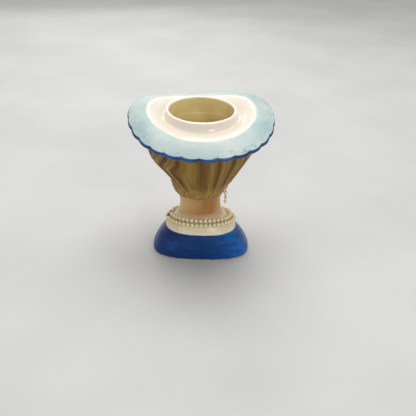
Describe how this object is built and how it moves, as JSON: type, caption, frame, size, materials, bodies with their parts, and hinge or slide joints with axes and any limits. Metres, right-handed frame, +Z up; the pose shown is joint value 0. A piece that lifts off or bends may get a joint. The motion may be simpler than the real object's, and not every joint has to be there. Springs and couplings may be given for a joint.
{
  "type": "head planter",
  "caption": "Glazed ceramic planter shaped as a lady's head and bust, with a wide scalloped hat brim round its open mouth, a double bead necklace and a drop earring.",
  "frame": {"origin": "centre of the bust's foot, on the surface that it stands on", "axes": "+Z up, -Y the way the figure faces, +X towards the figure's left"},
  "size_m": [0.1291, 0.1346, 0.1434],
  "materials": {
    "dress_and_shoulder_glaze": "brushed royal blue glaze on the dress, cream glaze on the shoulders, bare cream foot line",
    "skin_glaze": "warm flesh glaze shading to orange brown, tan glaze inside",
    "hair_glaze": "golden brown glaze, darker in the grooves of the locks",
    "hat_glaze": "pale blue green brushed glaze, cream at the mouth, royal blue edge",
    "imitation_pearl": "cream pearl lacquer",
    "thread": "off-white nylon thread",
    "dark_metal": "brass gone dark brown with age",
    "gilt_wire": "gold coloured wire"
  },
  "bodies": {
    "vase": {"bust": "dress_and_shoulder_glaze", "head": "skin_glaze", "hair": "hair_glaze", "hat": "hat_glaze", "necklace_upper_pearls": "imitation_pearl", "necklace_lower_pearls": "imitation_pearl", "necklace_upper_thread": "thread", "necklace_lower_thread": "thread", "clasp_hook_bar": "dark_metal", "clasp_eye_bar": "dark_metal"},
    "earring_upper": {"earring_wire": "gilt_wire", "earring_bead": "imitation_pearl"},
    "earring_lower": {"earring_link": "gilt_wire", "earring_drop": "imitation_pearl"}
  },
  "joints": [
    {"name": "lobe_swing", "type": "hinge", "parent": "vase", "child": "earring_upper", "pos_m": [-0.02176, -0.00165, 0.06587], "axis": [0, 1, 0], "range_deg": [-4, 35]},
    {"name": "drop_swing", "type": "hinge", "parent": "earring_upper", "child": "earring_lower", "pos_m": [-0.02176, -0.00165, 0.05548], "axis": [1, 0, 0], "range_deg": [-25, 25]}
  ]
}
